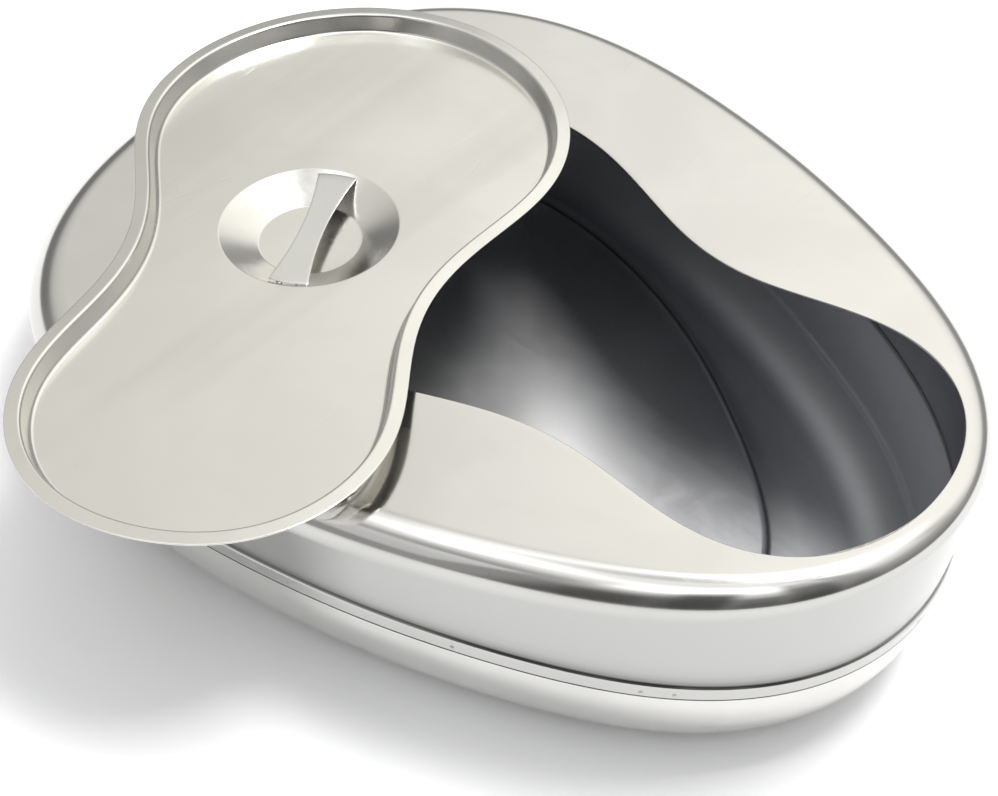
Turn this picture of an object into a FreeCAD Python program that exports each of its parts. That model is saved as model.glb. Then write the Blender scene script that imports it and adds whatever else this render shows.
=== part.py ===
import FreeCAD, Part
import os
import math

# Stainless steel bedpan: a lower bowl and an upper shell joined in a lapped,
# spot-welded and bead-sealed seam, with a loose pressed tray lid lying askew on
# the sloping top.  Millimetres.  +Z up, +X towards the high narrow end, origin in
# the base plane on the long axis.

os.makedirs("parts", exist_ok=True)
V = FreeCAD.Vector

# ---------------------------------------------------------------- dimensions
N = 96                          # points on every closed outline
# plan outline of the seam band: r(a) = sum c_k cos(k a), a = 0 at the high end
OUTLINE = [153.243, -17.714, 23.384, 7.550, -1.263, 2.420, -0.364]
T = 0.7                         # sheet thickness of both pan shells
LAP = 0.03                      # play between the two sheets in the lap
SEAM_Z = 41.54                  # cut edge of the upper skirt at x = 0
SEAM_SLOPE = 0.0292             # the seam climbs a little towards the high end
BAND_H = 6.2                    # straight height of the joggled band
JOG = 0.90                      # sideways step of the joggle
JOG_H = 1.6                     # height of the joggle bend
FLARE = 1.15                    # the wall leans out by this much up to the shoulder
SHOULDER_R = 13.0               # rolled shoulder
SHOULDER_DIP = 4.4              # smaller by this much at the narrow end, where the opening comes close
DIP_ARC = 28.0                  # half width of that tighter stretch, degrees
PANEL_Z = 86.40                 # top panel at x = 0
PANEL_SLOPE = 0.1251            # top panel climbs towards +X
# opening in the top panel: x = sum a_k cos kt + b_k sin kt, y likewise, one turn of t
OPEN_XC = [5.542, 148.426, 15.119, -9.675, -1.215, 0.374, -2.269, -0.109, 0.587, 0.044, 0.134]
OPEN_XS = [-0.662, -2.264, -1.146]
OPEN_YS = [69.248, -1.94, 3.149, 5.516, -0.461, -4.892, -0.878, 1.832, 0.296, 0.024]
OPEN_YC = [1.163, 3.257, 2.614, 1.781]
# bowl
BOWL_R = 26.0                   # width of the rounded bottom edge
BOWL_K = 0.89                   # height of that rounding over the seam height
STEP_Z = 2.0                    # the middle of the base is pressed up by this
STEP_IN = [44.5, 12.0, 7.0]     # foot of the pressed step, in from the outline: sum d_k cos(k a)
STEP_W = 3.6                    # width of the step
LAP_TOP = 5.4                   # top edge of the bowl above the skirt's cut edge
# weld spots in the lap: plan angle in degrees, diameter
SPOTS = [-142.0, -116.0, -89.0, -62.0, -36.0, -32.0, 0.0, 34.0, 62.0, 89.0, 116.0, 142.0, 180.0]
SPOT_D = 2.6
# lid, in its own frame: long axis x, dish centre at the origin, rim top at z = 0
LID_XC = [13.267, 143.582, 6.004, -1.453, -2.633, 0.184, -1.656, 0.97, 0.287, 0.041, 0.864]
LID_YS = [79.662, -7.46, 13.027, 3.518, -1.575, -2.368, 1.303, 2.327, 0.15, 0.449]
LT = 0.6                        # lid sheet
RIM_W, RIM_RISE = 5.3, 0.48     # flat rim: width and its rise towards the wall
WALL_W, TRAY_D = 2.19, 6.67     # tray wall: run and depth
CREST_R, FLOOR_R = 1.2, 1.6     # bends at the head and foot of the tray wall
DISH_R, DISH_FLOOR_R, DISH_D = 32.4, 18.7, 6.6
# lid pose on the pan
LID_ROT = (math.degrees(-0.121765), math.degrees(-0.014782), math.degrees(-1.152447))
LID_POS = (-83.628, -28.700, 85.50)
# grip strap across the dish, in the lid frame
STRAP_T = 0.6
STRAP_L = 30.3                  # half length
STRAP_END, STRAP_WAIST = 7.3, 4.3   # half widths
STRAP_YAW, STRAP_DY = 2.5, 1.7  # turned and moved off the long axis
STRAP_TOP = 0.1                 # above the tray floor
STRAP_SPOTS = [(-29.6, -3.4), (-29.6, 3.6), (29.6, -3.4), (29.6, 3.6)]


# ---------------------------------------------------------------- outlines
def polar(c):
    out = []
    for i in range(N):
        a = 2 * math.pi * i / N
        r = sum(k_c * math.cos(k * a) for k, k_c in enumerate(c))
        out.append((r * math.cos(a), r * math.sin(a)))
    return out


def wave(xc, xs, ys, yc):
    # closed curve from harmonics: cosine terms start at k = 0, sine terms at k = 1
    out = []
    for i in range(N):
        t = 2 * math.pi * i / N
        x = sum(c * math.cos(k * t) for k, c in enumerate(xc)) + sum(c * math.sin((k + 1) * t) for k, c in enumerate(xs))
        y = sum(c * math.sin((k + 1) * t) for k, c in enumerate(ys)) + sum(c * math.cos(k * t) for k, c in enumerate(yc))
        out.append((x, y))
    return out


def offset(P, d):
    # outward for positive d, one distance or one for each point
    out = []
    n = len(P)
    for i in range(n):
        m = d[i] if isinstance(d, list) else d
        tx = P[(i + 1) % n][0] - P[i - 1][0]
        ty = P[(i + 1) % n][1] - P[i - 1][1]
        L = math.hypot(tx, ty)
        out.append((P[i][0] + m * ty / L, P[i][1] - m * tx / L))
    return out


def ring(P, m, z):
    # closed smooth edge: the outline P moved out by m, at height z(x, y, point number)
    Q = offset(P, m) if m else P
    pts = [V(x, y, z(x, y, i)) for i, (x, y) in enumerate(Q)]
    c = Part.BSplineCurve()
    c.interpolate(pts, PeriodicFlag=True)
    return c.toShape()


def strip(a, b):
    return Part.makeRuledSurface(a, b)


def disc(outer, holes=()):
    wires = [Part.Wire([outer])] + [Part.Wire([h]) for h in holes]
    return Part.makeFace(wires, "Part::FaceMakerBullseye")


def solid(faces, name):
    flat_list = []
    for f in faces:
        flat_list += f.Faces
    shape = Part.makeCompound(flat_list)
    shape.sewShape()
    s = Part.makeSolid(shape.Shells[0])
    if s.Volume < 0:
        s.reverse()
    print(name, "shells", len(shape.Shells), "valid", s.isValid(), "volume", round(s.Volume, 1), "closed", s.isClosed())
    return s


def sweep(P, prof, name):
    # closed profile of (offset, height function) carried round the outline
    e = [ring(P, m, z) for m, z in prof]
    return solid([strip(e[i], e[(i + 1) % len(e)]) for i in range(len(e))], name)


PAN = polar(OUTLINE)
OPEN = wave(OPEN_XC, OPEN_XS, OPEN_YS, OPEN_YC)
STEP = [sum(c * math.cos(2 * math.pi * k * i / N) for k, c in enumerate(STEP_IN)) for i in range(N)]


def panel(dz=0.0):
    return lambda x, y, i: PANEL_Z + PANEL_SLOPE * x + (dz[i] if isinstance(dz, list) else dz)


def seam(dz=0.0):
    return lambda x, y, i: SEAM_Z + SEAM_SLOPE * x + dz


def arc(n):
    return [math.pi / 2 * i / n for i in range(n + 1)]


# ---------------------------------------------------------------- upper shell
W = -JOG + FLARE                # outer wall at the shoulder, from the outline
outer = [(0.0, seam()), (0.0, seam(BAND_H)), (-JOG, seam(BAND_H + JOG_H))]
SR = []
for i in range(N):
    deg = 360.0 * min(i, N - i) / N
    SR.append(SHOULDER_R - SHOULDER_DIP * math.exp(-(deg / DIP_ARC) ** 2))
outer += [([W - r * (1 - math.cos(a)) for r in SR], panel([-r * (1 - math.sin(a)) for r in SR])) for a in arc(9)]
inner = [(-T, seam()), (-T, seam(BAND_H - 0.2)), (-JOG - T, seam(BAND_H + JOG_H - 0.2))]
inner += [([W - T - (r - T) * (1 - math.cos(a)) for r in SR], panel([-T - (r - T) * (1 - math.sin(a)) for r in SR])) for a in arc(9)]
eo = [ring(PAN, m, z) for m, z in outer]
ei = [ring(PAN, m, z) for m, z in inner]
ho = ring(OPEN, 0.0, panel())
hi = ring(OPEN, 0.0, panel(-T))
faces = [strip(eo[i], eo[i + 1]) for i in range(len(eo) - 1)]
faces += [strip(ei[i], ei[i + 1]) for i in range(len(ei) - 1)]
faces += [strip(eo[0], ei[0]), disc(eo[-1], [ho]), disc(ei[-1], [hi]), strip(ho, hi)]
top_shell = solid(faces, "top_shell")


# ---------------------------------------------------------------- bowl
def bowl_profile(t):
    # outside face for t = 0, inside face for t = T
    m0 = -T - LAP - t
    r = BOWL_R - t
    out = [(m0, seam(LAP_TOP))]
    for a in arc(12):
        s = 1 - math.sin(a)
        out.append((m0 - r * (1 - math.cos(a)), (lambda s: lambda x, y, i: t + BOWL_K * (SEAM_Z + SEAM_SLOPE * x) * s)(s)))
    out.append(([STEP_W - s for s in STEP], lambda x, y, i: t))
    out.append(([-s for s in STEP], lambda x, y, i: STEP_Z + t))
    return out


bo = [ring(PAN, m, z) for m, z in bowl_profile(0.0)]
bi = [ring(PAN, m, z) for m, z in bowl_profile(T)]
# the foot ring is a true flat face, between the rounded edge and the pressed step
faces = [strip(bo[i], bo[i + 1]) for i in range(len(bo) - 1) if i != len(bo) - 3]
faces += [strip(bi[i], bi[i + 1]) for i in range(len(bi) - 1) if i != len(bi) - 3]
faces += [disc(bo[-3], [bo[-2]]), disc(bi[-3], [bi[-2]])]
faces += [strip(bo[0], bi[0]), disc(bo[-1]), disc(bi[-1])]
bottom_shell = solid(faces, "bottom_shell")

# ---------------------------------------------------------------- seam welds
# sealing bead in the corner above the bowl's edge, inside the joggle
g = 0.04
seam_bead = sweep(PAN, [
    (-T - g, seam(LAP_TOP + g)), (-2 * T - LAP, seam(LAP_TOP + g)), (-2 * T - 0.45, seam(BAND_H)),
    (-JOG - T - g, seam(BAND_H + JOG_H + 0.35)), (-JOG - T - g, seam(BAND_H + JOG_H - 0.2)),
    (-T - g, seam(BAND_H - 0.2 - g))], "seam_bead")

# resistance weld nuggets, each a small disc set half into each sheet
spots = []
for deg in SPOTS:
    a = math.radians(deg)
    r = sum(k_c * math.cos(k * a) for k, k_c in enumerate(OUTLINE))
    d = -sum(k * k_c * math.sin(k * a) for k, k_c in enumerate(OUTLINE))
    p = V(r * math.cos(a), r * math.sin(a), 0)
    t = V(d * math.cos(a) - r * math.sin(a), d * math.sin(a) + r * math.cos(a), 0)
    n = V(t.y, -t.x, 0)
    n.normalize()
    c = p + n * (-T - LAP - 0.45)
    c.z = SEAM_Z + SEAM_SLOPE * c.x + 3.0
    spots.append(Part.makeCylinder(SPOT_D / 2, 0.9 + LAP, c, n))
seam_spots = Part.Compound(spots)

# ---------------------------------------------------------------- lid
LID = wave(LID_XC, [], LID_YS, [])


def flat(z):
    return lambda x, y, i: z


def bend(p0, p1, p2, r, n=4):
    # round the corner p1 of a profile line with radius r
    ux, uy = p0[0] - p1[0], p0[1] - p1[1]
    vx, vy = p2[0] - p1[0], p2[1] - p1[1]
    lu, lv = math.hypot(ux, uy), math.hypot(vx, vy)
    ux, uy, vx, vy = ux / lu, uy / lu, vx / lv, vy / lv
    half = math.acos(max(-1, min(1, ux * vx + uy * vy))) / 2
    d = r / math.tan(half)
    a = (p1[0] + ux * d, p1[1] + uy * d)
    bx, by = ux + vx, uy + vy
    L = math.hypot(bx, by)
    h = r / math.sin(half)
    c = (p1[0] + bx / L * h, p1[1] + by / L * h)
    e = (p1[0] + vx * d, p1[1] + vy * d)
    a0 = math.atan2(a[1] - c[1], a[0] - c[0])
    a1 = math.atan2(e[1] - c[1], e[0] - c[0])
    while a1 - a0 > math.pi:
        a1 -= 2 * math.pi
    while a1 - a0 < -math.pi:
        a1 += 2 * math.pi
    return [(c[0] + r * math.cos(a0 + (a1 - a0) * i / n), c[1] + r * math.sin(a0 + (a1 - a0) * i / n)) for i in range(n + 1)]


def lid_line(t):
    # top face for t = 0, under face for t = LT; offsets are negative inwards
    wall = math.atan2(TRAY_D + RIM_RISE, WALL_W)
    s = t * math.tan((math.pi / 2 - (math.pi / 2 - wall)) / 2)
    k = t * (1 / math.sin(wall) - 1 / math.tan(wall))
    p = [(0.0, -t), (-RIM_W + k, RIM_RISE - t), (-RIM_W - WALL_W + k, -TRAY_D - t), (-RIM_W - WALL_W - 8, -TRAY_D - t)]
    out = [p[0]]
    out += bend(p[0], p[1], p[2], CREST_R - t if t == 0 else CREST_R - t + 0.1)
    out += bend(p[1], p[2], p[3], FLOOR_R if t == 0 else FLOOR_R + t)
    return out


def circle(r, z):
    return Part.Circle(V(0, 0, z), V(0, 0, 1), r).toShape()


def dish_line(t):
    k = 0.35 * t
    p = [(DISH_R + 6, -TRAY_D - t), (DISH_R - k * 0.5, -TRAY_D - t), (DISH_FLOOR_R - k, -TRAY_D - DISH_D - t), (0.0, -TRAY_D - DISH_D - t)]
    out = bend(p[0], p[1], p[2], 2.0 + t * 0.2)
    out += bend(p[1], p[2], p[3], 1.6 + t)
    return out


def lid_side(t):
    rim = [ring(LID, m, flat(z)) for m, z in lid_line(t)]
    dish = [circle(r, z) for r, z in dish_line(t)]
    f = [strip(rim[i], rim[i + 1]) for i in range(len(rim) - 1)]
    f.append(disc(rim[-1], [dish[0]]))
    f += [strip(dish[i], dish[i + 1]) for i in range(len(dish) - 1)]
    f.append(disc(dish[-1]))
    return f, rim[0]


ft, et = lid_side(0.0)
fb, eb = lid_side(LT)
lid_tray = solid(ft + fb + [strip(et, eb)], "lid_tray")

# grip strap: a flat hourglass blank bridging the dish
pts = []
for i in range(25):
    u = -1 + 2 * i / 24
    w = STRAP_WAIST + (STRAP_END - STRAP_WAIST) * abs(u) ** 2.0
    pts.append((STRAP_L * u, w))
z0 = -TRAY_D + STRAP_TOP - STRAP_T
xe = math.sqrt(STRAP_L ** 2 - STRAP_END ** 2)
up = [V(x * xe / STRAP_L, w, z0) for x, w in pts]
dn = [V(x * xe / STRAP_L, -w, z0) for x, w in pts]
b1 = Part.BSplineCurve(); b1.interpolate(up)
b2 = Part.BSplineCurve(); b2.interpolate(dn)
a1 = Part.Arc(up[-1], V(STRAP_L, 0, z0), dn[-1]).toShape()
a2 = Part.Arc(dn[0], V(-STRAP_L, 0, z0), up[0]).toShape()
blank = Part.Face(Part.Wire(Part.__sortEdges__([b1.toShape(), a1, b2.toShape(), a2])))
grip_strap = blank.extrude(V(0, 0, STRAP_T))
yaw = FreeCAD.Placement(V(0, STRAP_DY, 0), FreeCAD.Rotation(V(0, 0, 1), STRAP_YAW))
grip_strap.Placement = yaw

# weld nuggets between strap and dish wall
nug = []
for x, y in STRAP_SPOTS:
    nug.append(Part.makeCylinder(1.2, 0.75, yaw.multVec(V(x, y, z0 - 0.45))))
grip_spots = Part.Compound(nug)

# ---------------------------------------------------------------- lid pose
ry = FreeCAD.Rotation(V(0, 1, 0), LID_ROT[0])
rx = FreeCAD.Rotation(V(1, 0, 0), LID_ROT[1])
rz = FreeCAD.Rotation(V(0, 0, 1), LID_ROT[2])
pose = FreeCAD.Placement(V(*LID_POS), ry.multiply(rx).multiply(rz)).toMatrix()


def placed(s):
    return s.transformed(pose) if hasattr(s, "transformed") else s.transformGeometry(pose)


nodes = {
    "top_shell": top_shell,
    "bottom_shell": bottom_shell,
    "seam_bead": seam_bead,
    "seam_spots": seam_spots,
    "lid_tray": placed(lid_tray),
    "grip_strap": placed(grip_strap),
    "grip_spots": placed(grip_spots),
}
for name, s in nodes.items():
    s.exportStep("parts/" + name + ".step")
    b = s.BoundBox
    print(name, "solids", len(s.Solids), "valid", s.isValid(), "box", [round(v, 2) for v in (b.XMin, b.YMin, b.ZMin, b.XMax, b.YMax, b.ZMax)])
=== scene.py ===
import bpy, bmesh, math
import numpy as np
from mathutils import Vector, Matrix


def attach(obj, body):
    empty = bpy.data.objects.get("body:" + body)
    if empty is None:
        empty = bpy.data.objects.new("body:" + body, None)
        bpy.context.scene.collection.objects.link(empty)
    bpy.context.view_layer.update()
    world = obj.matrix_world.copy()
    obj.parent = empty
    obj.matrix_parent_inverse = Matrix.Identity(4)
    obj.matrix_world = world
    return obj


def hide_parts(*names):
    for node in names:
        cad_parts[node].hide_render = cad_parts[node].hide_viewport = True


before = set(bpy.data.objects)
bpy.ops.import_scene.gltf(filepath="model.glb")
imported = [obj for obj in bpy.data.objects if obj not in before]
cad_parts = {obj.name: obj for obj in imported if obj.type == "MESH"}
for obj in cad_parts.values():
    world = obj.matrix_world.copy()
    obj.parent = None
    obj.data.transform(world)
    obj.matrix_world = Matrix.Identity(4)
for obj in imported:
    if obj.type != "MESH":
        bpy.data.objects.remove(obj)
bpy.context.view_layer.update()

S = bpy.context.scene

# ------------------------------------------------------------------ camera
AZ, EL, ROLL = 0.6201363, 0.8737099, 0.1076636
F_PX, DIST, TX, TY = 2118.8434, 802.16155, 21.754108, 44.000427
back = Vector((math.sin(AZ) * math.cos(EL), -math.cos(AZ) * math.cos(EL), math.sin(EL)))
right = Vector((math.cos(AZ), math.sin(AZ), 0))
up = back.cross(right)
r2 = math.cos(ROLL) * right + math.sin(ROLL) * up
u2 = -math.sin(ROLL) * right + math.cos(ROLL) * up
t = Vector((TX / F_PX * DIST, TY / F_PX * DIST, DIST))
loc = -(r2 * t.x + (-u2) * t.y + (-back) * t.z) / 1000
cam_data = bpy.data.cameras.new("camera")
cam = bpy.data.objects.new("camera", cam_data)
S.collection.objects.link(cam)
S.camera = cam
m = Matrix((r2, u2, back)).transposed().to_4x4()
m.translation = loc
cam.matrix_world = m
cam_data.sensor_width = 36
cam_data.lens = F_PX / 998 * 36
cam_data.clip_start, cam_data.clip_end = 0.01, 50

# ------------------------------------------------------------------ outlines (mm)
N = 480
TH = np.arange(N) * 2 * math.pi / N
OUTLINE = [153.243, -17.714, 23.384, 7.550, -1.263, 2.420, -0.364]
T, LAP = 0.7, 0.03
SEAM_Z, SEAM_SLOPE, BAND_H, JOG, JOG_H = 41.54, 0.0292, 6.2, 0.90, 1.6
FLARE, SHOULDER_R, SHOULDER_DIP, DIP_ARC = 1.15, 13.0, 4.4, 28.0
PANEL_Z, PANEL_SLOPE = 86.40, 0.1251
OPEN_XC = [5.542, 148.426, 15.119, -9.675, -1.215, 0.374, -2.269, -0.109, 0.587, 0.044, 0.134]
OPEN_XS = [-0.662, -2.264, -1.146]
OPEN_YS = [69.248, -1.94, 3.149, 5.516, -0.461, -4.892, -0.878, 1.832, 0.296, 0.024]
OPEN_YC = [1.163, 3.257, 2.614, 1.781]
BOWL_R, BOWL_K, STEP_Z, LAP_TOP = 26.0, 0.89, 2.0, 5.4
STEP_IN, STEP_W = [44.5, 12.0, 7.0], 3.6
RIDGE_Z, RIDGE_H, RIDGE_W = 17.0, 0.42, 1.1
SPOTS = [-142.0, -116.0, -89.0, -62.0, -36.0, -32.0, 0.0, 34.0, 62.0, 89.0, 116.0, 142.0, 180.0]
LID_XC = [13.267, 143.582, 6.004, -1.453, -2.633, 0.184, -1.656, 0.97, 0.287, 0.041, 0.864]
LID_YS = [79.662, -7.46, 13.027, 3.518, -1.575, -2.368, 1.303, 2.327, 0.15, 0.449]
LT = 0.6
RIM_W, RIM_RISE, WALL_W, TRAY_D = 5.3, 0.48, 2.19, 6.67
CREST_R, FLOOR_R = 1.2, 1.6
DISH_R, DISH_FLOOR_R, DISH_D = 32.4, 18.7, 6.6
LID_ROT, LID_POS = (-0.121765, -0.014782, -1.152447), (-83.628, -28.700, 85.50)
STRAP_T, STRAP_L, STRAP_END, STRAP_WAIST = 0.6, 30.3, 7.3, 4.3
STRAP_YAW, STRAP_DY, STRAP_TOP = 2.5, 1.7, 0.1
STRAP_SPOTS = [(-29.6, -3.4), (-29.6, 3.6), (29.6, -3.4), (29.6, 3.6)]


def radius(c, th):
    return sum(k_c * np.cos(k * th) for k, k_c in enumerate(c))


def wave(xc, xs, ys, yc, t):
    x = sum(c * np.cos(k * t) for k, c in enumerate(xc)) + sum(c * np.sin((k + 1) * t) for k, c in enumerate(xs))
    y = sum(c * np.sin((k + 1) * t) for k, c in enumerate(ys)) + sum(c * np.cos(k * t) for k, c in enumerate(yc))
    return np.stack([x, y], 1)


def normals(P):
    d = np.roll(P, -1, 0) - np.roll(P, 1, 0)
    d /= np.linalg.norm(d, axis=1)[:, None]
    return np.stack([d[:, 1], -d[:, 0]], 1)


def off(P, nrm, d):
    return P + nrm * (d[:, None] if np.ndim(d) else d)


r = radius(OUTLINE, TH)
PAN = np.stack([r * np.cos(TH), r * np.sin(TH)], 1)
PN = normals(PAN)
OPEN = wave(OPEN_XC, OPEN_XS, OPEN_YS, OPEN_YC, TH)
ON = normals(OPEN)
STEP = radius(STEP_IN, TH)


def seam_z(P):
    return SEAM_Z + SEAM_SLOPE * P[:, 0]


def panel_z(P):
    return PANEL_Z + PANEL_SLOPE * P[:, 0]


def r3(P, z):
    return np.column_stack([P, z if np.ndim(z) else np.full(len(P), float(z))])


def mesh_from_rings(name, rings, closed, caps=(), zones=(), marks=()):
    """Grid of closed rings (mm). closed joins the last ring to the first; caps lists ring indices shrunk to a centre point."""
    n = len(rings[0])
    v = np.concatenate(rings) / 1000.0
    f = []
    R = len(rings)
    for i in range(R if closed else R - 1):
        j = (i + 1) % R
        for q in range(n):
            p = (q + 1) % n
            f.append((i * n + q, i * n + p, j * n + p, j * n + q))
    verts = [tuple(x) for x in v]
    for c in caps:
        ci = len(verts)
        verts.append(tuple(rings[c].mean(0) / 1000.0))
        for q in range(n):
            p = (q + 1) % n
            a_, b_ = c * n + q, c * n + p
            f.append((a_, b_, ci) if c else (b_, a_, ci))
    me = bpy.data.meshes.new(name)
    me.from_pydata(verts, [], f)
    for i0, i1, mi in zones:
        for q in range(i0 * n, i1 * n):
            me.polygons[q].material_index = mi
    for j, c in enumerate(caps):
        if zones:
            for q in range(len(f) - (len(caps) - j) * n, len(f) - (len(caps) - j - 1) * n):
                me.polygons[q].material_index = 1 if c else 0
    # one value per ring and mark, read by the materials
    for key, per_ring in marks:
        at = me.attributes.new(key, "FLOAT", "POINT")
        vals = [float(x) for x in np.repeat(np.asarray(per_ring, float), n)]
        at.data.foreach_set("value", vals + [float(per_ring[c]) for c in caps])
    bm = bmesh.new()
    bm.from_mesh(me)
    bmesh.ops.recalc_face_normals(bm, faces=bm.faces)
    bm.to_mesh(me)
    bm.free()
    me.shade_smooth()
    ob = bpy.data.objects.new(name, me)
    S.collection.objects.link(ob)
    return ob


# ------------------------------------------------------------------ upper shell
def shell_rings(split):
    W = -JOG + FLARE
    deg = np.degrees(np.minimum(TH, 2 * math.pi - TH))
    R = SHOULDER_R - SHOULDER_DIP * np.exp(-(deg / DIP_ARC) ** 2)
    out = []

    def add(d, z):
        Q = off(PAN, PN, d)
        out.append(r3(Q, z(Q)))

    s = lambda dz: (lambda Q: seam_z(Q) + dz)
    p = lambda dz: (lambda Q: panel_z(Q) + dz)
    # rounded cut edge of the skirt
    for a_ in np.linspace(0, 1, 6):
        add(-0.3 * (1 - math.sin(a_ * math.pi / 2)), s(0.3 * (1 - math.cos(a_ * math.pi / 2))))
    add(0, s(0.7)); add(0, s(0.9)); add(0, s(2.2)); add(0, s(4.0)); add(0, s(BAND_H - 0.6))
    # joggle bend, an S of two small radii
    for u in np.linspace(0, 1, 15):
        w = u * u * (3 - 2 * u)
        add(-JOG * w, s(BAND_H - 0.25 + u * (JOG_H + 0.35)))
    # wall
    z0 = BAND_H + JOG_H + 0.1
    for u in (0.02, 0.06, 0.15, 0.3, 0.45, 0.6, 0.75, 0.87, 0.95, 0.985):
        Q = off(PAN, PN, -JOG + FLARE * u)
        a0, a1 = seam_z(Q) + z0, panel_z(Q) - R
        out.append(r3(Q, a0 + (a1 - a0) * u))
    for a_ in np.linspace(0, math.pi / 2, 33):
        add(W - R * (1 - math.cos(a_)), p(-R * (1 - math.sin(a_))))
    # panel, from the shoulder to the opening
    A = off(PAN, PN, W - R)
    B = off(OPEN, ON, 0.4)
    gap = np.linalg.norm(A - B, axis=1)[:, None]
    for u in list(np.minimum(0.25 / 24, 1) * np.ones(1)) + list(np.linspace(0.04, 0.96, 22)):
        Q = A + (B - A) * u
        out.append(r3(Q, panel_z(Q)))
    # rounded cut edge of the opening
    for a_ in np.linspace(0, math.pi / 2, 8):
        Q = off(OPEN, ON, 0.34 - 0.34 * math.sin(a_))
        out.append(r3(Q, panel_z(Q) - 0.34 * (1 - math.cos(a_))))
    for a_ in np.linspace(0, math.pi / 2, 4):
        Q = off(OPEN, ON, 0.15 * (1 - math.cos(a_)))
        out.append(r3(Q, panel_z(Q) - T + 0.15 * (1 - math.sin(a_))))
    split.append(len(out) - 4)
    # underside, shoulder inside, wall inside
    Ai = off(PAN, PN, W - R)
    Bi = off(OPEN, ON, 0.3)
    for u in np.linspace(1, 0.02, 14):
        Q = Ai + (Bi - Ai) * u
        out.append(r3(Q, panel_z(Q) - T))
    ri = R - T
    for a_ in np.linspace(math.pi / 2, 0, 13):
        add(W - T - ri * (1 - math.cos(a_)), p(-T - ri * (1 - math.sin(a_))))
    for u in (0.95, 0.8, 0.6, 0.4, 0.2, 0.05, 0.0):
        Q = off(PAN, PN, -JOG - T + FLARE * u)
        a0, a1 = seam_z(Q) + BAND_H + JOG_H + 0.1, panel_z(Q) - R
        out.append(r3(Q, a0 + (a1 - a0) * u))
    for u in np.linspace(1, 0, 6):
        w = u * u * (3 - 2 * u)
        add(-T - JOG * w, s(BAND_H - 0.6 + u * (JOG_H + 0.4)))
    add(-T, s(3.0)); add(-T, s(0.3)); add(-T, s(0.05)); add(-T + 0.05, s(0.0)); add(-0.2, s(0.0))
    return out


# ------------------------------------------------------------------ bowl
def bowl_side(t):
    out = []
    m0 = -T - LAP - t
    rr = BOWL_R - t
    Q = off(PAN, PN, m0)
    z0 = BOWL_K * (SEAM_Z + SEAM_SLOPE * Q[:, 0])
    top = seam_z(Q) + LAP_TOP
    for u in (0.04, 0.12, 0.3, 0.5, 0.7, 0.85, 0.95):
        out.append(r3(Q, top + (z0 + t - top) * u))
    # rounded bottom edge; a faint drawing ridge runs round the inside
    for a_ in np.linspace(0, math.pi / 2, 110 if t else 40):
        s_ = 1 - math.sin(a_)
        Q = off(PAN, PN, m0 - rr * (1 - math.cos(a_)))
        z = t + BOWL_K * (SEAM_Z + SEAM_SLOPE * Q[:, 0]) * s_
        if t:
            k_ = RIDGE_H * np.exp(-((z - RIDGE_Z) / RIDGE_W) ** 2)
            Q = off(PAN, PN, m0 - rr * (1 - math.cos(a_)) - k_)
            z = z + 0.5 * k_
        out.append(r3(Q, z))
    e0 = m0 - rr
    hi = STEP_W + 0.35 - STEP
    for u in (0.1, 0.35, 0.65, 0.9):
        Q = off(PAN, PN, e0 + (hi - e0) * u)
        out.append(r3(Q, t))
    for u in np.linspace(0, 1, 15):
        w = u * u * (3 - 2 * u)
        Q = off(PAN, PN, hi - (STEP_W + 0.7) * u)
        out.append(r3(Q, t + STEP_Z * w))
    Qe = off(PAN, PN, -STEP - 0.4)
    c = Qe.mean(0)
    for u in (0.99, 0.93, 0.85, 0.75, 0.65, 0.55, 0.45, 0.35, 0.25, 0.15, 0.06):
        out.append(r3(c + (Qe - c) * u, t + STEP_Z))
    return out


def bowl_rings():
    o = bowl_side(0.0)
    i = bowl_side(T)
    Q = off(PAN, PN, -T - LAP - 0.1)
    Q2 = off(PAN, PN, -2 * T - LAP + 0.1)
    e = [r3(Q, seam_z(Q) + LAP_TOP), r3(Q2, seam_z(Q2) + LAP_TOP)]
    return o[::-1] + e + i


# ------------------------------------------------------------------ lid
def bend(p0, p1, p2, rad, n=8):
    p0, p1, p2 = (np.array(q, float) for q in (p0, p1, p2))
    u = (p0 - p1) / np.linalg.norm(p0 - p1)
    v = (p2 - p1) / np.linalg.norm(p2 - p1)
    half = math.acos(float(u @ v)) / 2
    d = rad / math.tan(half)
    b = (u + v) / np.linalg.norm(u + v)
    c = p1 + b * rad / math.sin(half)
    s, e = p1 + u * d - c, p1 + v * d - c
    a0, a1 = math.atan2(s[1], s[0]), math.atan2(e[1], e[0])
    while a1 - a0 > math.pi: a1 -= 2 * math.pi
    while a1 - a0 < -math.pi: a1 += 2 * math.pi
    return [(c[0] + rad * math.cos(a0 + (a1 - a0) * i / n), c[1] + rad * math.sin(a0 + (a1 - a0) * i / n)) for i in range(n + 1)]


def between(a_, b_, us):
    return [(a_[0] + (b_[0] - a_[0]) * u, a_[1] + (b_[1] - a_[1]) * u) for u in us]


LID = wave(LID_XC, [], LID_YS, [], TH)
LN = normals(LID)
PHI = np.arctan2(LID[:, 1], LID[:, 0])
CIR = np.stack([np.cos(PHI), np.sin(PHI)], 1)


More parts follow.
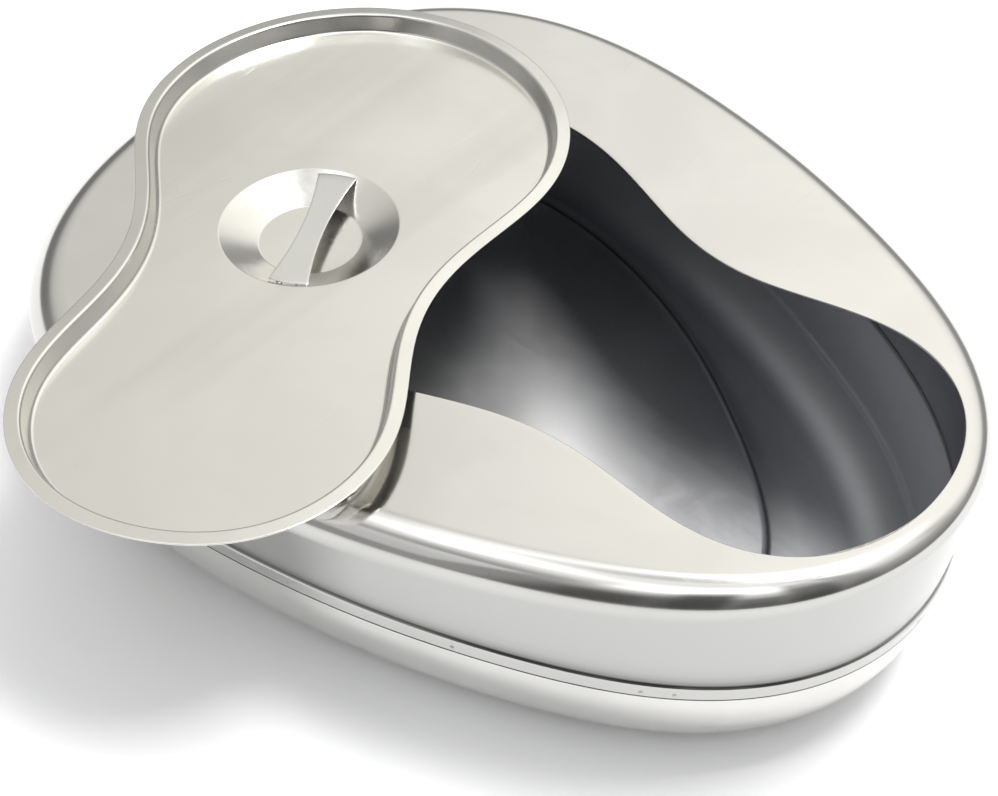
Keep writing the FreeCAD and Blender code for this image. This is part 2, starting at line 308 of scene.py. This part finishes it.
def lid_side(t):
    wall = math.atan2(TRAY_D + RIM_RISE, WALL_W)
    k_ = t * (1 / math.sin(wall) - 1 / math.tan(wall))
    p = [(0.0, -t), (-RIM_W + k_, RIM_RISE - t), (-RIM_W - WALL_W + k_, -TRAY_D - t), (-RIM_W - WALL_W - 8, -TRAY_D - t)]
    b1 = bend(p[0], p[1], p[2], CREST_R if t == 0 else CREST_R - t + 0.1)
    b2 = bend(p[1], p[2], p[3], FLOOR_R if t == 0 else FLOOR_R + t)
    line = between((-0.15, -t + 0.01), b1[0], (0, 0.06, 0.3, 0.7, 0.94)) + b1
    line += between(b1[-1], b2[0], (0.06, 0.3, 0.6, 0.94)) + b2
    rings = [r3(off(LID, LN, d), z) for d, z in line]
    kd = 0.35 * t
    q = [(DISH_R + 6, -TRAY_D - t), (DISH_R - kd * 0.5, -TRAY_D - t), (DISH_FLOOR_R - kd, -TRAY_D - DISH_D - t), (0.0, -TRAY_D - DISH_D - t)]
    c1 = bend(q[0], q[1], q[2], 1.4 + t * 0.2, 10)
    c2 = bend(q[1], q[2], q[3], 1.6 + t, 8)
    A = off(LID, LN, b2[-1][0])
    B = CIR * c1[0][0]
    for u in (0.005, 0.03, 0.1, 0.2, 0.3, 0.4, 0.5, 0.6, 0.7, 0.8, 0.9, 0.97, 0.995):
        rings.append(r3(A + (B - A) * u, -TRAY_D - t))
    line = c1 + between(c1[-1], c2[0], (0.05, 0.35, 0.65, 0.95)) + c2
    line += between(c2[-1], (0, c2[-1][1]), (0.03, 0.15, 0.4, 0.65, 0.85))
    rings += [r3(CIR * d, z) for d, z in line]
    return rings


def lid_matrix():
    m_ = Matrix.Rotation(LID_ROT[0], 4, "Y") @ Matrix.Rotation(LID_ROT[1], 4, "X") @ Matrix.Rotation(LID_ROT[2], 4, "Z")
    return Matrix.Translation(Vector(LID_POS) / 1000) @ m_


def lid_rings():
    a_ = lid_side(0.0)
    b_ = lid_side(LT)
    edge = [r3(off(LID, LN, -0.04), -0.06), r3(off(LID, LN, 0.0), -0.2), r3(off(LID, LN, 0.0), -LT + 0.2), r3(off(LID, LN, -0.04), -LT + 0.06)]
    return b_[::-1] + edge[::-1] + a_


split = []
rt = shell_rings(split)
# painted shade in the concave corner of the joggle, darkest where the wall starts
crease_shade = np.zeros(len(rt))
crease_shade[11:26] = [math.exp(-((u - 0.80) / 0.30) ** 2) for u in np.linspace(0, 1, 15)]
crease_shade[26:30] = [0.55, 0.30, 0.08, 0.0]
# painted shade with a rougher finish: the skirt band, the wall and the lower shoulder get a darker colour and more
# roughness
coarse_and_shade = np.zeros(len(rt))
coarse_and_shade[0:26] = 0.7
coarse_and_shade[26:36] = 1.0
coarse_and_shade[36:56] = np.linspace(1.0, 0.0, 20)
# material 2 on the first rings is the skirt's cut edge: a dark raw edge with painted seam shadow
top = mesh_from_rings("upper_shell_skin", rt, True, (), [(split[0], len(rt), 1), (0, 7, 2)], [("crease_shade", crease_shade), ("coarse_and_shade", coarse_and_shade)])
rb = bowl_rings()
nb = len(bowl_side(0.0))
# inside the bowl: painted shade in the foot of the pressed step, and on the rolled wall a darker painted-shade colour
# with a coarser finish
crease_shade, coarse_and_shade = np.zeros(len(rb)), np.zeros(len(rb))
k0 = nb + 2
coarse_and_shade[k0:k0 + 117] = 1.0
coarse_and_shade[k0 + 117:k0 + 121] = [0.75, 0.5, 0.3, 0.1]
crease_shade[k0 + 121:k0 + 136] = [math.exp(-((u - 0.35) / 0.32) ** 2) for u in np.linspace(0, 1, 15)]
crease_shade[k0 + 120] = 0.25
bowl = mesh_from_rings("bowl_skin", rb, False, (0, len(rb) - 1), [(nb, len(rb) - 1, 1)], [("crease_shade", crease_shade), ("coarse_and_shade", coarse_and_shade)])
rl = lid_rings()
lid = mesh_from_rings("lid_skin", rl, False, (0, len(rl) - 1))
lid.data.transform(lid_matrix())


# ------------------------------------------------------------------ strap
def strap():
    bm = bmesh.new()
    nu, nv = 64, 14
    yaw = math.radians(STRAP_YAW)
    layers = []
    for zt in (STRAP_TOP, STRAP_TOP - STRAP_T):
        g = []
        for i in range(nu + 1):
            row = []
            u = -1 + 2 * i / nu
            for j in range(nv + 1):
                v = -1 + 2 * j / nv
                w = STRAP_WAIST + (STRAP_END - STRAP_WAIST) * abs(u) ** 2
                y = v * w
                x = u * math.sqrt(STRAP_L ** 2 - (v * STRAP_END) ** 2)
                # the ends dip a little to follow the dish wall
                z = -TRAY_D + zt - 0.22 * max(0.0, (abs(u) - 0.86) / 0.14) ** 2
                X = x * math.cos(yaw) - y * math.sin(yaw)
                Y = x * math.sin(yaw) + y * math.cos(yaw) + STRAP_DY
                row.append(bm.verts.new((X / 1000, Y / 1000, z / 1000)))
            g.append(row)
        layers.append(g)
    for g, flip in ((layers[0], False), (layers[1], True)):
        for i in range(nu):
            for j in range(nv):
                q = (g[i][j], g[i + 1][j], g[i + 1][j + 1], g[i][j + 1])
                bm.faces.new(q[::-1] if flip else q)
    a_, b_ = layers
    border = [(i, 0) for i in range(nu)] + [(nu, j) for j in range(nv)] + [(i, nv) for i in range(nu, 0, -1)] + [(0, j) for j in range(nv, 0, -1)]
    edges = []
    for q in range(len(border)):
        (i, j), (k_, l) = border[q], border[(q + 1) % len(border)]
        bm.faces.new((a_[k_][l], a_[i][j], b_[i][j], b_[k_][l]))
        edges.append(bm.edges.get((a_[i][j], a_[k_][l])))
        edges.append(bm.edges.get((b_[i][j], b_[k_][l])))
    bmesh.ops.recalc_face_normals(bm, faces=bm.faces)
    bmesh.ops.bevel(bm, geom=edges, offset=0.00016, segments=3, profile=0.5, affect="EDGES")
    me = bpy.data.meshes.new("strap_skin")
    bm.to_mesh(me)
    bm.free()
    me.transform(lid_matrix())
    for p_ in me.polygons:
        p_.use_smooth = True
    ob = bpy.data.objects.new("strap_skin", me)
    S.collection.objects.link(ob)
    return ob


strap_ob = strap()


# ------------------------------------------------------------------ weld marks and bead
def pads(name, places, rad, height):
    """Shallow domes: places are (centre, axis, across) in metres."""
    bm = bmesh.new()
    for c, nrm, tan in places:
        bi = nrm.cross(tan)
        prev = None
        n = 20
        ringset = []
        for u in (1.0, 0.8, 0.55, 0.3):
            h = height * (1 - u * u)
            ringset.append([bm.verts.new(c + (tan * math.cos(2 * math.pi * q / n) + bi * math.sin(2 * math.pi * q / n)) * rad * u + nrm * h) for q in range(n)])
        tip = bm.verts.new(c + nrm * height)
        low = [bm.verts.new(v.co - nrm * 0.0004) for v in ringset[0]]
        for r1, r2_ in zip([low] + ringset, ringset):
            for q in range(n):
                p = (q + 1) % n
                bm.faces.new((r1[q], r1[p], r2_[p], r2_[q]))
        for q in range(n):
            p = (q + 1) % n
            bm.faces.new((ringset[-1][q], ringset[-1][p], tip))
        bm.faces.new(low[::-1])
    bmesh.ops.recalc_face_normals(bm, faces=bm.faces)
    me = bpy.data.meshes.new(name)
    bm.to_mesh(me)
    bm.free()
    me.shade_smooth()
    ob = bpy.data.objects.new(name, me)
    S.collection.objects.link(ob)
    return ob


places = []
for deg in SPOTS:
    a_ = math.radians(deg)
    r_ = sum(c * math.cos(k_ * a_) for k_, c in enumerate(OUTLINE))
    d_ = -sum(k_ * c * math.sin(k_ * a_) for k_, c in enumerate(OUTLINE))
    x, y = r_ * math.cos(a_), r_ * math.sin(a_)
    tan = Vector((d_ * math.cos(a_) - r_ * math.sin(a_), d_ * math.sin(a_) + r_ * math.cos(a_), 0)).normalized()
    nrm = Vector((tan.y, -tan.x, 0))
    c = Vector((x, y, SEAM_Z + SEAM_SLOPE * x + 3.0)) / 1000 + nrm * (0.00001 if deg != -89.0 else -0.00005)
    places.append((c, nrm, tan))
marks = pads("weld_marks", places, 0.00075, 0.00006)

LM = lid_matrix()
places = []
for x, y in STRAP_SPOTS:
    yaw = math.radians(STRAP_YAW)
    X = x * math.cos(yaw) - y * math.sin(yaw)
    Y = x * math.sin(yaw) + y * math.cos(yaw) + STRAP_DY
    c = LM @ (Vector((X, Y, -TRAY_D + STRAP_TOP - STRAP_T - 0.35)) / 1000)
    places.append((c, (LM.to_3x3() @ Vector((0, 0, 1))).normalized(), (LM.to_3x3() @ Vector((1, 0, 0))).normalized()))
grip_marks = pads("grip_weld_nuggets", places, 0.0011, 0.0003)

g = 0.04
bead_prof = [(-T - g, LAP_TOP + g), (-2 * T - LAP, LAP_TOP + g), (-2 * T - 0.38, LAP_TOP + 0.4), (-2 * T - 0.45, BAND_H), (-2 * T - 0.25, BAND_H + 0.6),
             (-JOG - T - g, BAND_H + JOG_H + 0.35), (-JOG - T - g, BAND_H + JOG_H - 0.2), (-T - g, BAND_H - 0.2 - g)]
rings = []
for d, z in bead_prof:
    ripple = 0.06 * np.sin(TH * 420) * (1 if d < -2 * T - 0.2 else 0)
    Q = PAN + PN * (d - np.abs(ripple))[:, None] if np.ndim(ripple) else off(PAN, PN, d)
    rings.append(r3(Q, seam_z(Q) + z))
bead = mesh_from_rings("seam_bead_skin", rings, True)


# ------------------------------------------------------------------ materials
class Nodes:
    def __init__(self, name):
        self.mat = bpy.data.materials.new(name)
        self.mat.use_nodes = True
        self.t = self.mat.node_tree
        self.t.nodes.clear()
        self.out = self.t.nodes.new("ShaderNodeOutputMaterial")
        self.b = self.t.nodes.new("ShaderNodeBsdfPrincipled")
        self.t.links.new(self.b.outputs[0], self.out.inputs[0])
        self.pos = self.t.nodes.new("ShaderNodeTexCoord").outputs["Object"]

    def new(self, kind, **kw):
        n = self.t.nodes.new(kind)
        for k_, v in kw.items():
            setattr(n, k_, v)
        return n

    def link(self, a_, b_):
        self.t.links.new(a_, b_)

    def mapped(self, rot=(0, 0, 0), scale=(1, 1, 1), src=None):
        n = self.new("ShaderNodeMapping")
        self.link(src or self.pos, n.inputs["Vector"])
        n.inputs["Rotation"].default_value = rot
        n.inputs["Scale"].default_value = scale
        return n.outputs[0]

    def noise(self, vec, scale, detail=2.0, rough=0.5, dist=0.0):
        n = self.new("ShaderNodeTexNoise")
        self.link(vec, n.inputs["Vector"])
        n.inputs["Scale"].default_value = scale
        n.inputs["Detail"].default_value = detail
        n.inputs["Roughness"].default_value = rough
        n.inputs["Distortion"].default_value = dist
        return n.outputs["Fac"]

    def rng(self, val, a0, a1, b0, b1, smooth=False):
        n = self.new("ShaderNodeMapRange")
        if smooth:
            n.interpolation_type = "SMOOTHSTEP"
        self.link(val, n.inputs["Value"])
        for k_, x in zip(("From Min", "From Max", "To Min", "To Max"), (a0, a1, b0, b1)):
            n.inputs[k_].default_value = x
        return n.outputs[0]

    def math(self, op, a_, b_):
        n = self.new("ShaderNodeMath", operation=op)
        for i, x in enumerate((a_, b_)):
            if isinstance(x, (int, float)):
                n.inputs[i].default_value = x
            else:
                self.link(x, n.inputs[i])
        return n.outputs[0]

    def mix(self, fac, a_, b_):
        n = self.new("ShaderNodeMix", data_type="RGBA")
        self.link(fac, n.inputs[0]) if not isinstance(fac, (int, float)) else setattr(n.inputs[0], "default_value", fac)
        for i, x in ((6, a_), (7, b_)):
            if isinstance(x, tuple):
                n.inputs[i].default_value = (*x, 1)
            else:
                self.link(x, n.inputs[i])
        return n.outputs[2]

    def bump(self, height, strength, dist, prev=None):
        n = self.new("ShaderNodeBump")
        n.inputs["Strength"].default_value = strength
        n.inputs["Distance"].default_value = dist
        self.link(height, n.inputs["Height"])
        if prev is not None:
            self.link(prev, n.inputs["Normal"])
        return n.outputs[0]


def steel(name, base, dark, rough, rough_var, grain_dir, grain_amp, wave_amp, scratch=0.5, tint=(0.60, 0.57, 0.50), crease_shade=None, coarse_and_shade=0.0, streak=0.0, wall=None):
    n = Nodes(name)
    n.b.inputs["Metallic"].default_value = 1.0
    # polishing grain: long fine lines
    g1 = n.noise(n.mapped((0, 0, grain_dir), (14, 900, 900)), 1.0, 3.0, 0.6)
    g2 = n.noise(n.mapped((0, 0, grain_dir + 0.08), (30, 2400, 2400)), 1.0, 2.0, 0.5)
    # cloudy variation of the polish, and smudges
    cloud = n.noise(n.pos, 16.0, 4.0, 0.55, 0.4)
    smudge = n.noise(n.mapped((0.3, 0.2, 0.9), (1, 1, 1)), 55.0, 5.0, 0.6, 1.2)
    col = n.mix(n.rng(cloud, 0.35, 0.68, 0, 1, True), base, dark)
    spots = n.noise(n.mapped((0.1, 0.4, 0.2), (1, 1, 1)), 420.0, 1.0, 0.5)
    speck = n.rng(spots, 0.80, 0.84, 0, 1, True)
    col = n.mix(n.math("MULTIPLY", speck, 0.55), col, tint)
    if streak:
        # painted reflection: long soft darker bands across the lid
        band = n.noise(n.mapped((0, 0, -0.12), (17, 1.3, 3)), 1.0, 3.0, 0.55, 0.2)
        col = n.mix(n.math("MULTIPLY", n.rng(band, 0.47, 0.62, 0, 1, True), streak), col, (0.50, 0.50, 0.47))
    if wall:
        # painted shade: darkens the base colour on the masked rolled wall zone (skirt, wall and lower shoulder outside,
        # the rolled wall inside the bowl); the same mask also adds roughness
        w_ = n.new("ShaderNodeAttribute", attribute_name="coarse_and_shade", attribute_type="GEOMETRY").outputs["Fac"]
        col = n.mix(n.math("MULTIPLY", w_, wall[1]), col, wall[0])
    # painted shade: darkens the base colour where the mask marks a concave crease (the joggle bend, the foot of the
    # pressed step)
    if crease_shade:
        g_ = n.new("ShaderNodeAttribute", attribute_name="crease_shade", attribute_type="GEOMETRY").outputs["Fac"]
        col = n.mix(n.math("MULTIPLY", g_, crease_shade), col, (0.045, 0.045, 0.05))
    n.link(col, n.b.inputs["Base Color"])
    # roughness: polish cloud + smudges + grain
    r_a = n.rng(cloud, 0.3, 0.7, rough - rough_var, rough + rough_var, True)
    r_b = n.math("ADD", r_a, n.rng(smudge, 0.45, 0.75, 0.0, rough_var * 1.3, True))
    r_c = n.math("ADD", r_b, n.rng(g1, 0.3, 0.7, -rough_var * 0.6, rough_var * 0.6))
    if coarse_and_shade:
        c_ = n.new("ShaderNodeAttribute", attribute_name="coarse_and_shade", attribute_type="GEOMETRY").outputs["Fac"]
        r_c = n.math("ADD", r_c, n.math("MULTIPLY", c_, coarse_and_shade))
    n.link(r_c, n.b.inputs["Roughness"])
    # relief: sheet waviness, grain and a few fine scratches
    wave = n.noise(n.pos, 9.0, 1.0, 0.4)
    nb = n.bump(wave, 1.0, wave_amp)
    nb = n.bump(g1, 0.35, grain_amp, nb)
    nb = n.bump(g2, 0.3, grain_amp * 0.6, nb)
    v = n.new("ShaderNodeTexVoronoi", feature="DISTANCE_TO_EDGE")
    n.link(n.mapped((0.2, 0.1, 0.7), (1.0, 0.12, 1.0)), v.inputs["Vector"])
    v.inputs["Scale"].default_value = 70.0
    line = n.rng(v.outputs["Distance"], 0.0, 0.012, 1.0, 0.0)
    gate = n.rng(n.noise(n.mapped((0.5, 0.0, 0.3)), 30.0, 2.0), 0.60, 0.66, 0.0, 1.0, True)
    scr = n.math("MULTIPLY", line, gate)
    nb = n.bump(scr, scratch, -0.00004, nb)
    n.link(nb, n.b.inputs["Normal"])
    return n.mat


# painted shade on the top shell: dark colour in the joggle crease and on the rolled wall
m_top = steel("upper_shell_steel", (0.71, 0.702, 0.68), (0.67, 0.662, 0.64), 0.11, 0.025, 0.35, 0.0000012, 0.00035, crease_shade=0.9, coarse_and_shade=0.03, wall=((0.48, 0.48, 0.47), 0.95))
m_bowl = steel("bowl_steel", (0.76, 0.755, 0.735), (0.71, 0.705, 0.685), 0.15, 0.03, 0.1, 0.0000015, 0.0003)
# painted light and shade inside the bowl: a lighter bluish base than the outside, with painted shade in the step foot
# and on the rolled wall
m_inner = steel("inner_satin_lit_steel", (0.86, 0.865, 0.88), (0.79, 0.80, 0.82), 0.33, 0.02, 0.5, 0.0000015, 0.0003, 0.0, crease_shade=0.85, coarse_and_shade=0.16, wall=((0.40, 0.415, 0.45), 0.55))
# painted shade: the underside of the top shell, inside the pan, is a dark bluish steel; it is also duller
m_under = steel("underside_dull_shaded_steel", (0.34, 0.355, 0.39), (0.26, 0.275, 0.31), 0.36, 0.04, 0.5, 0.000003, 0.0003, 0.3)
# painted reflection: soft darker bands across the lid
m_lid = steel("lid_steel", (0.78, 0.77, 0.735), (0.74, 0.73, 0.695), 0.17, 0.035, -0.9, 0.000002, 0.0003, streak=0.26)
m_strap = steel("strap_steel", (0.72, 0.715, 0.70), (0.66, 0.655, 0.64), 0.24, 0.04, -0.9, 0.000002, 0.0001)
m_weld = steel("weld_metal_steel", (0.42, 0.41, 0.40), (0.25, 0.245, 0.24), 0.38, 0.08, 0.0, 0.000004, 0.0001)
# the skirt's cut edge: very dark for a raw cut edge and for painted shadow of the seam gap under it
m_raw_edge_shadow = steel("raw_edge_seam_shadow_steel", (0.13, 0.125, 0.12), (0.06, 0.06, 0.06), 0.5, 0.08, 0.0, 0.000004, 0.0001)

for ob, mat, body, node, slot in (
    (top, m_top, "pan", "top_shell", "top_shell_steel"),
    (bowl, m_bowl, "pan", "bottom_shell", "bottom_shell_steel"),
    (bead, m_weld, "pan", "seam_bead", "weld_metal"),
    (marks, m_weld, "pan", "seam_spots", "weld_metal"),
    (lid, m_lid, "lid", "lid_tray", "lid_steel"),
    (strap_ob, m_strap, "lid", "grip_strap", "strap_steel"),
    (grip_marks, m_weld, "lid", "grip_spots", "weld_metal"),
):
    ob.data.materials.append(mat)
    if ob == top:
        ob.data.materials.append(m_under)
        ob.data.materials.append(m_raw_edge_shadow)
    if ob == bowl:
        ob.data.materials.append(m_inner)
    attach(ob, body)
    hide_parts(node)

# ------------------------------------------------------------------ floor
me = bpy.data.meshes.new("floor")
me.from_pydata([(-1.6, -1.6, 0), (1.6, -1.6, 0), (1.6, 1.6, 0), (-1.6, 1.6, 0)], [], [(0, 1, 2, 3)])
floor = bpy.data.objects.new("floor", me)
S.collection.objects.link(floor)
floor.location.z = -0.0002
fm = bpy.data.materials.new("floor_white")
fm.use_nodes = True
fb = fm.node_tree.nodes["Principled BSDF"]
fb.inputs["Roughness"].default_value = 0.9
fb.inputs["Specular IOR Level"].default_value = 0.1
fb.inputs["Base Color"].default_value = (0.95, 0.955, 0.965, 1)
floor.data.materials.append(fm)

# ------------------------------------------------------------------ light
w = bpy.data.worlds.new("studio")
S.world = w
w.use_nodes = True
nt = w.node_tree
bg = nt.nodes["Background"]
tc = nt.nodes.new("ShaderNodeTexCoord")


def wmath(op, *args):
    n = nt.nodes.new("ShaderNodeMath")
    n.operation = op
    for i, x in enumerate(args):
        if isinstance(x, (int, float)):
            n.inputs[i].default_value = x
        else:
            nt.links.new(x, n.inputs[i])
    return n.outputs[0]


def wdot(d):
    n = nt.nodes.new("ShaderNodeVectorMath")
    n.operation = "DOT_PRODUCT"
    nt.links.new(tc.outputs["Generated"], n.inputs[0])
    n.inputs[1].default_value = Vector(d).normalized()
    return n.outputs["Value"]


def wrange(v, a0, a1, b0, b1):
    n = nt.nodes.new("ShaderNodeMapRange")
    n.interpolation_type = "SMOOTHSTEP"
    nt.links.new(v, n.inputs["Value"])
    for k_, x in zip(("From Min", "From Max", "To Min", "To Max"), (a0, a1, b0, b1)):
        n.inputs[k_].default_value = x
    return n.outputs[0]


def ramp(fac, stops):
    n = nt.nodes.new("ShaderNodeValToRGB")
    nt.links.new(fac, n.inputs[0])
    e = n.color_ramp.elements
    while len(e) > 1:
        e.remove(e[-1])
    for i, (x, c) in enumerate(stops):
        q = e[0] if i == 0 else e.new((x + 1) / 2)
        q.position = (x + 1) / 2
        q.color = (*c, 1) if isinstance(c, tuple) else (c, c, c, 1)
    return n.outputs[0]


def wmix(fac, a_, b_):
    n = nt.nodes.new("ShaderNodeMix")
    n.data_type = "RGBA"
    nt.links.new(fac, n.inputs[0])
    nt.links.new(a_, n.inputs[6])
    nt.links.new(b_, n.inputs[7])
    return n.outputs[2]


zc = wdot((0, 0, 1))
z01 = wmath("MULTIPLY_ADD", zc, 0.5, 0.5)
hl = wmath("SQRT", wmath("MAXIMUM", wmath("SUBTRACT", 1.0, wmath("MULTIPLY", zc, zc)), 0.0004))
ca = wmath("DIVIDE", wdot((math.sin(AZ), -math.cos(AZ), 0)), hl)
# three sides of the room by height: far wall, side walls, and the dark side where the camera stands
CREAM, WHITE = (1.25, 1.235, 1.17), (2.3, 2.3, 2.3)
far = ramp(z01, ((-1, 0.90), (-0.05, 0.90), (0.0, 0.50), (0.08, 0.32), (0.26, 0.38), (0.42, (1.0, 0.99, 0.945)), (0.56, (1.18, 1.17, 1.11)), (0.68, CREAM), (0.82, CREAM), (0.92, WHITE), (1.0, WHITE)))
side = ramp(z01, ((-1, 0.90), (-0.05, 0.90), (0.0, 0.40), (0.08, 0.42), (0.30, 0.50), (0.74, 0.60), (0.85, 1.2), (0.92, WHITE), (1.0, WHITE)))
near = ramp(z01, ((-1, 0.90), (-0.05, 0.80), (0.0, 0.16), (0.08, 0.10), (0.5, 0.10), (0.72, 0.14), (0.80, 0.7), (0.87, WHITE), (1.0, WHITE)))
# turn round the camera's own direction, in radians, positive to its right
cu = wdot((math.cos(AZ), math.sin(AZ), 0))
cv = wdot((math.sin(AZ), -math.cos(AZ), 0))
turn = wmath("ARCTAN2", cu, cv)


def window(a0, a1, soft):
    r_ = math.radians
    up_ = wrange(turn, r_(a0 - soft), r_(a0 + soft), 0.0, 1.0)
    return wmath("MULTIPLY", up_, wrange(turn, r_(a1 - soft), r_(a1 + soft), 1.0, 0.0))


def scaled(col, fac):
    n = nt.nodes.new("ShaderNodeVectorMath")
    n.operation = "SCALE"
    nt.links.new(col, n.inputs[0])
    nt.links.new(fac, n.inputs["Scale"])
    return n.outputs[0]


# the far wall falls off to the left
far = scaled(far, wrange(wmath("DIVIDE", cu, hl), -0.50, 0.10, 0.66, 1.05))
sky = wmix(wrange(ca, -0.6, 0.0, 0.0, 1.0), far, side)
BELOW = ((-1, 0.90), (-0.05, 0.70))
# upright zones of the room round the camera, left to right: (from, to, softness in degrees, brightness by height)
for a0, a1, soft, rise in (
    (-60, -26, 5, ((0.0, 0.40), (0.17, 0.42), (0.50, 0.36), (0.76, 0.50), (0.90, 1.25), (0.97, WHITE), (1.0, WHITE))),
    (-26, -8, 4, ((0.0, 0.16), (0.08, 0.10), (0.50, 0.13), (0.62, 0.40), (0.74, 1.05), (0.82, WHITE), (1.0, WHITE))),
    (-8, 9, 3, ((0.0, 0.16), (0.08, 0.10), (0.50, 0.10), (0.72, 0.14), (0.80, 0.70), (0.87, WHITE), (1.0, WHITE))),
    (9, 24, 4, ((0.0, 0.20), (0.17, 0.16), (0.50, 0.26), (0.72, 1.00), (0.88, WHITE), (1.0, WHITE))),
    (24, 43, 4, ((0.0, 0.12), (0.17, 0.10), (0.50, 0.16), (0.76, 0.24), (0.92, 0.75), (0.98, WHITE), (1.0, WHITE))),
    (43, 58, 5, ((0.0, 0.20), (0.17, 0.22), (0.50, 0.38), (0.76, 0.50), (0.93, 0.60), (0.99, WHITE), (1.0, WHITE))),
    (58, 96, 7, ((0.0, 0.30), (0.17, 0.34), (0.50, 0.55), (0.76, 1.05), (0.90, 1.50), (1.0, WHITE))),
):
    sky = wmix(window(a0, a1, soft), sky, ramp(z01, BELOW + rise))
# the room is less bright straight overhead, so flat steel isn't blown out from above
sky = scaled(sky, wrange(zc, 0.92, 0.98, 1.0, 0.5))
nt.links.new(sky, bg.inputs["Color"])
bg.inputs["Strength"].default_value = 1.0


def area(name, loc, target, size, power, color=(1, 1, 1), size_y=None):
    d = bpy.data.lights.new(name, "AREA")
    d.energy = power
    d.color = color
    d.shape = "RECTANGLE"
    d.size = size
    d.size_y = size_y or size
    o = bpy.data.objects.new(name, d)
    S.collection.objects.link(o)
    o.location = loc
    o.rotation_mode = "QUATERNION"
    o.rotation_quaternion = (Vector(target) - Vector(loc)).to_track_quat("-Z", "Y")
    return o


area("key", (0.25, 0.38, 1.8), (0, 0, 0.05), 0.5, 19, (1.0, 0.99, 0.98))
area("fill", (-0.3, -1.5, 0.9), (0, 0, 0.05), 0.8, 0.8, (0.97, 0.98, 1.0))
S.view_settings.view_transform = "Standard"
S.view_settings.exposure = 0.0
